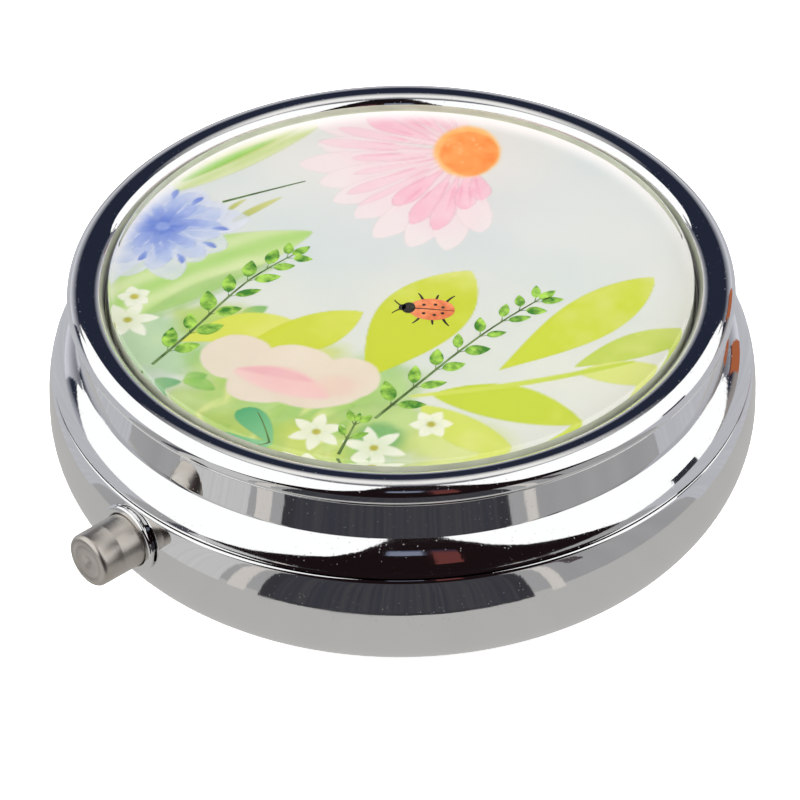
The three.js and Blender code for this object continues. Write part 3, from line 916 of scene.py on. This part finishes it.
def paintConeflower(middle=(4.9, 15.3)):
    draws = np.random.default_rng(9)
    for i in range(15):
        turn = 98 + 12.6 * i
        reach = 11.7 + draws.uniform(-0.9, 0.5) - (2.4 if turn > 262 else 0)
        end = at(middle, turn, reach)
        mask, along, _ = petal(middle, end, 1.3, 0.74, draws.uniform(-0.4, 0.4), 0.2, 0.6)
        wash(mask, "#F3EDEB", "#F6DEE3", 0.85 - along + 0.6 * cloud(140 + i, 2.2), 0.9, 0.08)
    for i in range(16):
        turn = 104 + 11.6 * i + draws.uniform(-2, 2)
        reach = 10.3 + draws.uniform(-2.6, 0.8) - (1.8 if turn > 262 else 0)
        deeper = turn > 225 or turn < 150
        half = 0.82 if deeper else draws.uniform(0.3, 0.6)
        start, end = at(middle, turn, 1.4), at(middle, turn, reach)
        mask, along, _ = petal(start, end, half, 0.76, 0.1, 0.18, 0.7)
        wash(mask, "#F8E2E7", "#F6BFD0" if deeper else "#F7CDDA",
             0.4 * along + 1.2 * cloud(160 + i, 1.3) - 0.1, 0.85 if deeper else 0.6, 0.12)
    for i in range(22):
        turn = 112 + 8 * i + draws.uniform(-2, 2)
        inner = draws.uniform(2.2, 5.5)
        start, end = at(middle, turn, inner), at(middle, turn, inner + draws.uniform(1.6, 3.8))
        mask, along, _ = petal(start, end, 0.13, 0.4, 0, 0.16)
        wash(mask, "#F5C3D1", "#EE9DBA", 1 - along, 0.45, 0)
    tilted = blot(middle, 2.4, 3.05, 0.5, 0.12, 3)
    wash(tilted, "#FFD08A", "#FFB65E", cloud(180, 1.0), 1.0, 0)
    wash(blot((middle[0] + 0.1, middle[1] - 0.2), 2.05, 2.65, 0.35, 0.15, 4), "#FFAE62", "#F98A3E",
         1.5 * cloud(181, 1.1) - 0.3, 1.0, 0.04)
    for i in range(14):
        dot = at(middle, draws.uniform(0, 360), draws.uniform(0.4, 2.2))
        wash(blot(dot, 0.13, 0.13, 0.12), "#FFC78A", "#FFB070", cloud(182, 1), 0.7, 0)


def paintLeaves():
    leaves = [
        ((-15.6, -6.2), (-7.4, -4.2), 1.5, 0.6, 0.4, "#E5EA8E", "#DBE25C"),
        ((-11.2, -7.2), (-2.7, -3.3), 1.9, 0.55, -0.5, "#DCE463", "#CEDA42"),
        ((-2.6, -10.6), (4.9, 1.2), 3.1, 0.58, 0.3, "#E1E88A", "#CBD838"),
        ((6.6, -9.9), (17.7, 0.3), 2.15, 0.6, -0.2, "#E4E99C", "#CDDB3E"),
        ((11.8, -9.6), (20.6, -5.6), 1.3, 0.55, 0.3, "#DDE58C", "#C3D75C"),
        ((12.0, -10.2), (19.2, -10.6), 1.3, 0.5, 0.1, "#E9EDA4", "#DCE682"),
        ((2.0, -12.4), (12.2, -15.6), 1.9, 0.5, 0.6, "#DDE56A", "#C7D93F"),
        ((1.2, -13.6), (7.6, -18.9), 1.5, 0.5, -0.3, "#E7ED9A", "#D6E36A"),
    ]
    for i, (start, end, half, widest, bend, light, deep) in enumerate(leaves):
        mask, along, _ = petal(start, end, half, widest, bend, 0.16)
        wash(mask, light, deep, 1.3 - along ** 2 + 1.3 * (cloud(200 + i, 2.4) - 0.5), 0.95, 0.06)
    mask, along, _ = petal((0.4, -12.6), (16.0, -9.0), 0.26, 0.5, -0.5, 0.16, 0.3)
    wash(mask, "#D9E36A", "#C2D84E", along, 0.95, 0)


def paintBlossom():
    lobes = [((-11.4, -8.0), 2.5, 2.4), ((-7.6, -9.0), 2.9, 2.2), ((-3.9, -10.6), 2.4, 2.3),
             ((-9.2, -11.0), 3.0, 2.0), ((-5.8, -11.9), 3.2, 1.8)]
    for i, (middle, wide, tall) in enumerate(lobes):
        lobe = blot(middle, wide, tall, 0.2, 0.12, 230 + i)
        wash(lobe, "#ECE4D6", "#E7DAC8", cloud(240 + i, 3), 1.0, 0.015)
    mask = petal((-11.6, -9.4), (-5.0, -12.6), 1.35, 0.5, 0.35, 0.7)[0]
    wash(mask, "#F7D3D3", "#F3BFC4", cloud(250, 1.6), 0.9, 0)
    mask = petal((-11.4, -9.2), (-6.0, -10.9), 0.5, 0.5, 0.3, 0.3)[0]
    wash(mask, "#F2C2C8", "#EBAEB8", cloud(251, 1.2), 0.7, 0)
    wash(blot((-4.6, -11.4), 1.6, 1.1, 1.2, 0.4, 9), "#F2CFC4", "#EFC4BC", cloud(252, 1), 0.5, 0)
    mask, along, _ = petal((-11.0, -13.6), (-8.9, -17.4), 1.0, 0.28, 0.2, 0.2)
    wash(mask, "#8CCB9A", "#4FA877", 1 - along, 0.9)


def paintStars():
    stars = [((-5.9, -16.2), 2.0, 6, 15), ((-2.0, -18.0), 2.3, 6, 40), ((-19.0, -3.6), 2.2, 6, 5),
             ((-18.6, -1.0), 1.2, 5, 30), ((1.9, -15.6), 1.5, 6, 0)]
    for middle, reach, count, lean in stars:
        for i in range(count):
            turn = lean + 360 * i / count
            mask, along, _ = petal(middle, at(middle, turn, reach), 0.5, 0.45, 0.05, 0.16)
            wash(mask, "#F6F8EC", "#E3EDCF", 1 - 1.6 * along, 0.92, 0.05)
        wash(blot(middle, 0.3, 0.3, 0.2), "#D6C64E", "#9FA23C", cloud(260, 0.5), 0.9, 0)


# painted reflection: the print fades to white along its far edge only, standing in for the white band that
# the dome mirrors there
def paintFarEdgeReflection():
    global canvas
    reach = np.hypot(across, away)
    # painted reflection of a white band, strongest at the far edge and absent at the near edge
    reflectedWhite = softened(reach - 20.3 + 0.9 * away / 20, 1.5)[:, None]
    canvas = canvas * (1 - reflectedWhite) + reflectedWhite
    canvas = canvas * code(pictureLook["resinTint"])


for paint in (paintPaper, paintMeadow, paintBlades, paintBlueFlower, paintConeflower, paintLeaves,
              paintBlossom, paintStars, paintFarEdgeReflection):
    paint()

inkLayer = printSheet.data.color_attributes.new("print", "FLOAT_COLOR", "POINT")
colours = np.column_stack([toLinear(canvas), np.ones(len(across))])
inkLayer.data.foreach_set("color", colours.astype(np.float32).ravel())

# the sheet gets its thickness: its rim is drawn down and closed underneath
pick(printSheet)
bpy.ops.object.mode_set(mode="EDIT")
bpy.ops.mesh.select_all(action="DESELECT")
bpy.ops.mesh.select_mode(type="EDGE")
bpy.ops.mesh.select_non_manifold()
rimDrop = (0, 0, (discLow.z - pictureLook["top"]) * mm)
bpy.ops.mesh.extrude_edges_move(TRANSFORM_OT_translate={"value": rimDrop})
bpy.ops.mesh.edge_face_add()
bpy.ops.mesh.select_all(action="SELECT")
bpy.ops.mesh.normals_make_consistent(inside=False)
bpy.ops.object.mode_set(mode="OBJECT")


# Digital print on coated card: even colour with a very fine paper tooth
def addPrint(name):
    material, tree, body = newMaterial(name, {"Roughness": 0.55, "Specular IOR Level": 0.3})
    colour = addNode(tree, "ShaderNodeAttribute", {"attribute_name": "print"})
    tooth = ranged(tree, noise(tree, 0.18, 3.0), 0.0, 1.0, 0.985, 1.005)
    shaded = addNode(tree, "ShaderNodeMix", {"data_type": "RGBA", "blend_type": "MULTIPLY"}, {0: 1.0},
                     {6: colour.outputs["Color"], 7: tooth})
    feed(tree, body, {"Base Color": shaded.outputs[2]})
    return material


place(printSheet, addPrint("watercolour print on coated card"), "lid", "printed_card", "picture_disc")
print("picture painted")


# Overprinted inks, a shade uneven as ink is; the leaf green runs from dark to fresh
def addInk(name, deep, light, size):
    material, tree, body = newMaterial(name, {"Roughness": 0.5, "Specular IOR Level": 0.3})
    share = ranged(tree, noise(tree, size, 2.0), 0.35, 0.65)
    feed(tree, body, {"Base Color": toned(tree, share, deep, light)})
    return material


inks = {
    "leafInk": addInk("leaf green ink", "#38702A", "#A2C956", 0.8),
    "stemInk": addInk("stem green ink", "#44582F", "#6F8A55", 1.5),
    "beetleInk": addInk("brick red ink", "#C96A45", "#E0895F", 0.7),
    "blackInk": addInk("warm black ink", "#1E1C1A", "#3A3632", 0.5),
}
inkShapes = {name: [] for name in inks}
printTurn = Matrix.Rotation(math.radians(studio["turn"]), 4, "Z")


# one pointed leaflet a millimetre long, modelled once and copied
def makeLeaflet():
    clearSelection()
    bpy.ops.mesh.primitive_grid_add(x_subdivisions=8, y_subdivisions=2, size=1, location=(0.5, 0, 0))
    leaflet = bpy.context.object
    leaflet.name = "leaflet"
    for vertex in leaflet.data.vertices:
        share = vertex.co.x + 0.5
        vertex.co.x = share
        vertex.co.y *= math.sin(math.pi * share ** 0.8) ** 0.8 if 0 < share < 1 else 0.02
    return leaflet


leaflet = makeLeaflet()


# lays a flat shape on the picture: its middle, length, width, lean and height above the paper
def layInk(mesh, middle, long, wide, degrees, lift):
    there = Matrix.Translation(Vector((*middle, 0)) * mm)
    grown = Matrix.Diagonal((long * mm, wide * mm, 1, 1))
    raised = Matrix.Translation((0, 0, (pictureLook["top"] + lift) * mm))
    mesh.transform(raised @ printTurn @ there @ Matrix.Rotation(math.radians(degrees), 4, "Z") @ grown)


def inkCopy(ink, middle, long, wide, degrees, lift):
    copied = bpy.data.objects.new("ink", leaflet.data.copy())
    layInk(copied.data, middle, long, wide, degrees, lift)
    bpy.context.scene.collection.objects.link(copied)
    inkShapes[ink].append(copied)


def inkSpot(ink, middle, wide, tall, degrees, lift):
    clearSelection()
    bpy.ops.mesh.primitive_circle_add(vertices=28, radius=1, fill_type="NGON", location=(0, 0, 0))
    spot = bpy.context.object
    layInk(spot.data, middle, wide, tall, degrees, lift)
    inkShapes[ink].append(spot)


# a fine drawn line through points, tapering to its end
def inkLine(ink, points, half, lift):
    curve = bpy.data.curves.new("line", "CURVE")
    curve.dimensions = "3D"
    curve.bevel_depth = half * mm
    curve.bevel_resolution = 1
    curve.resolution_u = 6
    spline = curve.splines.new("NURBS")
    spline.points.add(len(points) - 1)
    for i, (x, y) in enumerate(points):
        spline.points[i].co = (x * mm, y * mm, 0, 1)
        spline.points[i].radius = 1 - 0.5 * i / (len(points) - 1)
    spline.use_endpoint_u = True
    spline.order_u = 3
    line = bpy.data.objects.new("line", curve)
    bpy.context.scene.collection.objects.link(line)
    pick(line)
    bpy.ops.object.convert(target="MESH")
    line = bpy.context.object
    line.data.transform(Matrix.Diagonal((1, 1, 0.02, 1)))
    line.data.transform(Matrix.Translation((0, 0, (pictureLook["top"] + lift) * mm)) @ printTurn)
    inkShapes[ink].append(line)


# a twig of paired leaflets, the last ones smaller
def inkTwig(points, pairs, size, seed):
    inkLine("stemInk", points, 0.115, 0.012)
    draws = np.random.default_rng(seed)
    for i in range(pairs):
        share = (i + 0.7) / pairs * (len(points) - 1)
        k = min(int(share), len(points) - 2)
        here, there = np.array(points[k]), np.array(points[k + 1])
        spot = here + (there - here) * (share - k)
        heading = math.degrees(math.atan2(*(there - here)[::-1]))
        grown = size * (1.1 - 0.4 * i / pairs)
        for way in (-1, 1):
            stalk = at(spot, heading + way * 38, 0.45)
            inkLine("stemInk", [tuple(spot), stalk], 0.05, 0.012)
            long = grown * draws.uniform(0.85, 1.15)
            turn = heading + way * draws.uniform(28, 52)
            inkCopy("leafInk", stalk, long, long * draws.uniform(0.4, 0.62), turn, 0.02)
    tip = points[-1]
    inkCopy("leafInk", tip, size * 0.8, size * 0.4, heading, 0.02)


inkTwig([(-17.2, -8.6), (-14.6, -5.2), (-12.3, -1.6), (-10.0, 1.4), (-7.6, 3.3)], 7, 2.0, 3)
inkTwig([(-1.9, -14.9), (1.2, -11.1), (4.3, -7.3), (7.4, -4.0), (9.6, -2.1)], 8, 1.9, 8)
inkTwig([(-4.4, -18.6), (-3.6, -16.4), (-3.2, -15.2)], 2, 1.2, 12)
inkLine("stemInk", [(-12.6, 9.7), (-9.6, 10.9), (-6.7, 12.0)], 0.115, 0.012)
inkLine("stemInk", [(-9.0, -17.6), (-9.3, -15.6), (-9.9, -14.0)], 0.07, 0.012)


def inkBeetle(middle, lean):
    def off(x, y):
        t = math.radians(lean)
        return middle[0] + x * math.cos(t) - y * math.sin(t), middle[1] + x * math.sin(t) + y * math.cos(t)
    inkSpot("beetleInk", middle, 1.62, 1.2, lean, 0.02)
    inkSpot("blackInk", off(-1.62, 0), 0.48, 0.6, lean, 0.024)
    inkSpot("blackInk", off(-2.05, 0), 0.26, 0.34, lean, 0.024)
    inkLine("blackInk", [off(-1.4, 0), off(0, 0.03), off(1.58, 0)], 0.06, 0.026)
    for x, y in ((-0.6, 0.45), (-0.5, -0.5), (0.2, 0.55), (0.25, -0.6), (0.75, 0.3), (0.8, -0.35)):
        inkSpot("blackInk", off(x, y), 0.13, 0.13, lean, 0.026)
    for way in (-1, 1):
        for x, spread in ((-0.7, -0.35), (0.15, 0.1), (0.9, 0.4)):
            knee = off(x + spread * 0.5, way * 1.4)
            inkLine("blackInk", [off(x, way * 0.9), knee, off(x + spread * 1.3, way * 1.68)], 0.1, 0.014)
        feeler = [off(-2.1, way * 0.15), off(-2.45, way * 0.35), off(-2.7, way * 0.75)]
        inkLine("blackInk", feeler, 0.07, 0.014)


inkBeetle((2.1, -3.1), -8)
bpy.data.objects.remove(leaflet)

for inkName, shapes in inkShapes.items():
    clearSelection()
    for shape in shapes:
        shape.select_set(True)
    bpy.context.view_layer.objects.active = shapes[0]
    bpy.ops.object.join()
    place(named(inkName), inks[inkName], "lid", "printed_card")
print("fine lines printed")


# copies a CAD piece, merges it, joins its flat facets and softens its edges
def refine(name, node, bevel, material, body, slot, levels=()):
    source = frame["nodes"][node]
    obj = source.copy()
    obj.data = source.data.copy()
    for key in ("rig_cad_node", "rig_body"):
        if key in obj:
            del obj[key]
    obj.name = name
    obj.data.name = name
    obj.parent = None
    bpy.context.scene.collection.objects.link(obj)
    pick(obj)
    bpy.ops.object.mode_set(mode="EDIT")
    bpy.ops.mesh.select_all(action="SELECT")
    bpy.ops.mesh.remove_doubles(threshold=0.001 * mm)
    bpy.ops.mesh.dissolve_limited(angle_limit=math.radians(1))
    bpy.ops.mesh.normals_make_consistent(inside=False)
    for level in levels:
        bpy.ops.mesh.select_all(action="SELECT")
        bpy.ops.mesh.bisect(plane_co=(0, 0, level * mm), plane_no=(0, 0, 1))
    bpy.ops.object.mode_set(mode="OBJECT")
    bevelEdges(obj, bevel, 3, 30)
    smooth(obj, 32)
    return place(obj, material, body, slot, node)


# Bright zinc on the stamped inner plates: greyer than chromium, with straight rolling lines
stampedLook = {"colour": "#C9CBCD", "deep": "#A9ACB0", "roughness": 0.22, "line": 0.12}


def addStamped(name, s):
    material, tree, body = newMaterial(name, {"Metallic": 1.0})
    lines = noise(tree, s["line"], 3.0, (0.04, 1, 1))
    polish = ranged(tree, lines, 0.0, 1.0, s["roughness"] * 0.7, s["roughness"] * 1.4)
    feed(tree, body, {"Base Color": toned(tree, noise(tree, 3.0, 4.0), s["deep"], s["colour"]),
                      "Roughness": polish, "Normal": bumped(tree, lines, 0.15, 0.01)})
    return material


innerPlate = addStamped("zinc plated stamped steel", stampedLook)
springSteel = addStamped("tempered spring steel",
                         {"colour": "#A7A6A3", "deep": "#7C7A78", "roughness": 0.28, "line": 0.1})
refine("innerRingBase", "base_ring", 0.09, innerPlate, "base", "chrome_inner")
refine("innerRingLid", "lid_ring", 0.09, innerPlate, "lid", "chrome_inner")
refine("hingeLeafBase", "hinge_base_leaf", 0.06, innerPlate, "base", "hinge_chrome")
refine("hingeLeafLid", "hinge_lid_leaf", 0.06, innerPlate, "lid", "hinge_chrome")
refine("hingePin", "hinge_pin", 0.08, springSteel, "base", "pin_steel")
refine("lidHook", "lid_hook", 0.06, springSteel, "lid", "spring_steel")
for side in ("left", "right"):
    refine("baseHingeRivet." + side, "base_hinge_rivet_" + side, 0.05, springSteel, "base", "rivet_steel")
    refine("lidHingeRivet." + side, "lid_hinge_rivet_" + side, 0.05, springSteel, "lid", "rivet_steel")
    refine("hookRivet." + side, "hook_rivet_" + side, 0.05, springSteel, "lid", "rivet_steel")

# the latch leaf stands on the floor, where the button's stem pushes against it; its copy is cut into bands
# up its height from just above its foot, and is not bent here
springLow, springHigh = corners("latch_spring")
bendLow, bendHigh = springLow.z + 0.6, buttonZ - 1.0
latchLeaf = refine("latchLeaf", "latch_spring", 0.05, springSteel, None, "spring_steel",
                   np.linspace(bendLow, springHigh.z - 0.9, 16))
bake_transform(latchLeaf)
print("plates, hinge and latch ready")

# The tray: a round cup with three walls
trayLow, trayHigh = corners("pill_tray")
trayLook = {
    "wall": 0.8,
    "lip": 1.5,               # how far the lip stands out past the cup
    "floor": 0.8,
    "cove": 1.6,              # rounding where the floor meets the cup
    "dividerDrop": 0.6,
    "dividers": (90, 210, 330),
    "dividerEdge": 0.22,      # rounding along the dividers
    "dividerStep": 0.01,      # each divider's top below the one before, so that they don't lie in one plane
    "lipDepth": 0.5,
    "flatHalf": 3.3,          # half the width of the flat on the lip, in front of the latch
    "flatLip": 1.0,           # lip left outside the cup there
    "steps": 160,
}


def makeTray(s):
    lipRadius = trayHigh.x
    outer = lipRadius - s["lip"]
    inner = outer - s["wall"]
    top, low = trayHigh.z, trayLow.z
    floorTop = low + s["floor"]
    lipLow = top - s["lipDepth"]
    outline = [(0, low), (outer - 0.8, low), (outer, low + 0.8), (outer, lipLow), (lipRadius, lipLow),
               (lipRadius, top), (inner, top), (inner, floorTop), (0, floorTop)]
    outline = rounded(outline, {1: 0.5, 2: 0.5, 4: 0.12, 5: 0.2, 6: 0.3, 7: s["cove"]}, 6)
    tray = spinOutline("pillTray", outline, s["steps"])
    boolean(tray, addBlock("flat", (-s["flatHalf"], -lipRadius - 1, lipLow - 0.1),
                           (s["flatHalf"], -outer - s["flatLip"], top + 1)))
    # the dividers are moulded into the cup: their ends run a little way into its wall, its floor and each
    # other, and their tops differ by a hair so that no two faces share a plane where they meet
    walls = []
    for i, turn in enumerate(s["dividers"]):
        wallTop = top - s["dividerDrop"] - s["dividerStep"] * i
        wall = addBlock("divider", (-s["wall"] * 0.375, -s["wall"] / 2, low + s["floor"] / 4),
                        (inner + s["wall"] / 2, s["wall"] / 2, wallTop))
        bevelEdges(wall, s["dividerEdge"], 4)
        wall.data.transform(Matrix.Rotation(math.radians(turn), 4, "Z"))
        walls.append(wall)
    pick(tray)
    for wall in walls:
        wall.select_set(True)
    bpy.ops.object.join()
    return tray


pillTray = makeTray(trayLook)


# Injection moulded polypropylene: satin white, a little translucent, with a fine moulded grain
def addPlastic(name):
    material, tree, body = newMaterial(name, {"Roughness": 0.38, "Subsurface Weight": 0.15,
                                              "Subsurface Scale": 0.6 * mm})
    feed(tree, body, {"Base Color": toned(tree, noise(tree, 7.0, 3.0), "#A4A7A6", "#B2B4B1"),
                      "Normal": bumped(tree, noise(tree, 0.12, 2.0), 0.12, 0.02)})
    return material


smooth(pillTray, 40)
place(pillTray, addPlastic("white moulded polypropylene"), "base", "tray_plastic", "pill_tray")
print("tray ready")

# The mirror inside the lid, its lower face's edge ground to a slope
glassLow, glassHigh = corners("mirror")
mirrorLook = {"slope": 1.6, "slopeDepth": 0.45, "steps": 160, "silver": "#EDF1EF", "edge": "#A9C4B5"}


def makeMirror(s):
    radius, low, high = glassHigh.x, glassLow.z, glassHigh.z
    outline = [(0, low), (radius - s["slope"] - 0.4, low), (radius - s["slope"], low),
               (radius - 0.05, low + s["slopeDepth"]), (radius, low + s["slopeDepth"] + 0.05),
               (radius, high - 0.08), (radius - 0.08, high), (0, high)]
    return spinOutline("insideMirror", outline, s["steps"])


# Silvered float glass: a clean mirror that turns green towards its ground edge
def addMirrorGlass(s):
    material, tree, body = newMaterial("silvered float glass", {"Metallic": 1.0, "Roughness": 0.015})
    reach = addNode(tree, "ShaderNodeVectorMath", {"operation": "LENGTH"},
                    feeds={0: objectSpace(tree, (1, 1, 0))}).outputs["Value"]
    rim = ranged(tree, reach, (glassHigh.x - 0.5) * mm, glassHigh.x * mm)
    feed(tree, body, {"Base Color": toned(tree, rim, s["silver"], s["edge"]),
                      "Roughness": ranged(tree, noise(tree, 4.0, 5.0), 0.4, 0.8, 0.008, 0.06)})
    return material


insideMirror = makeMirror(mirrorLook)
smooth(insideMirror, 12)
place(insideMirror, addMirrorGlass(mirrorLook), "lid", "mirror_glass", "mirror")


# Black closed-cell foam behind the mirror: matt, with small cells
def addFoam(name):
    material, tree, body = newMaterial(name, {"Roughness": 0.95})
    bubbles = cells(tree, 0.35)
    feed(tree, body, {"Base Color": toned(tree, bubbles, "#1F2022", "#3B3C3F"),
                      "Normal": bumped(tree, bubbles, 0.6, 0.1)})
    return material


refine("mirrorPad", "mirror_pad", 0.12, addFoam("black polyethylene foam"), "lid", "foam_pad")
print("mirror ready")
